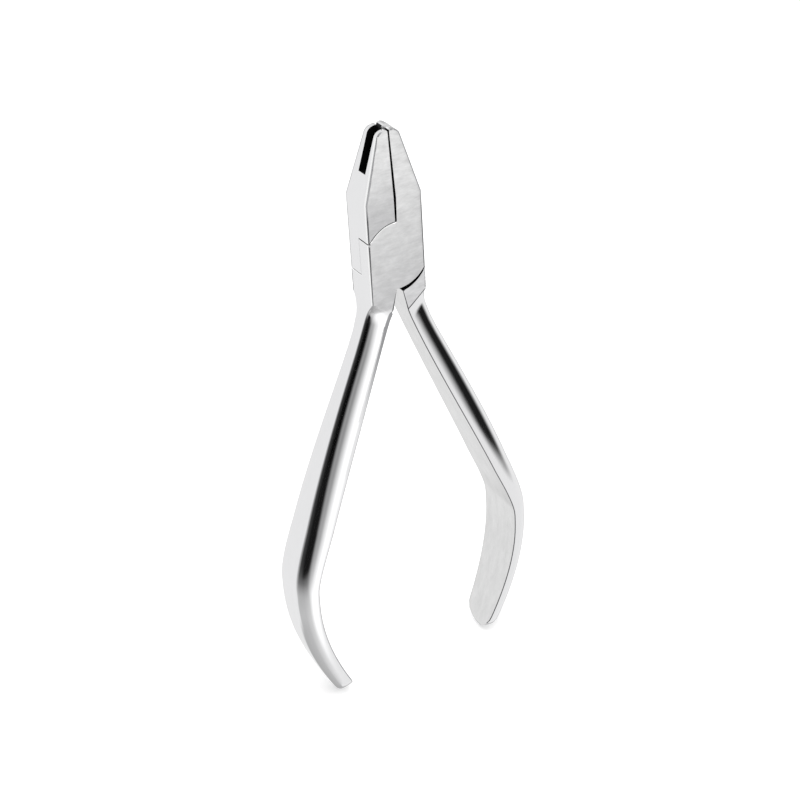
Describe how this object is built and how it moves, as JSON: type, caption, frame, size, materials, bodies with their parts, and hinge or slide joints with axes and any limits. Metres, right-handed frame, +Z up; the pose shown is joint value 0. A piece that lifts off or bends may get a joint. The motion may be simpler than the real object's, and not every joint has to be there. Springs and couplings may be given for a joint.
{
  "type": "orthodontic pliers",
  "caption": "Stainless steel wire-bending pliers with a round screwed lap joint, a forked jaw that closes over a middle prong, and bowed handles.",
  "frame": {"origin": "where the joint axis meets the front face of the head", "axes": "+X towards the side that the middle prong's jaw lies on, +Y from the front face to the back face along the joint axis, +Z up towards the jaw tips"},
  "size_m": [0.0584, 0.0123, 0.1316],
  "materials": {
    "front_lever_steel": "satin head faces, mirror polished handle",
    "back_lever_steel": "satin head faces, mirror polished handle",
    "screw_steel": "ground flush, satin"
  },
  "bodies": {
    "front_body": {"front_lever": "front_lever_steel", "joint_screw": "screw_steel"},
    "back_body": {"back_lever": "back_lever_steel"}
  },
  "joints": [
    {"name": "jaw_hinge", "type": "hinge", "parent": "front_body", "child": "back_body", "pos_m": [0, 0.00405, 0], "axis": [0, -1, 0], "range_deg": [0, 25]}
  ]
}
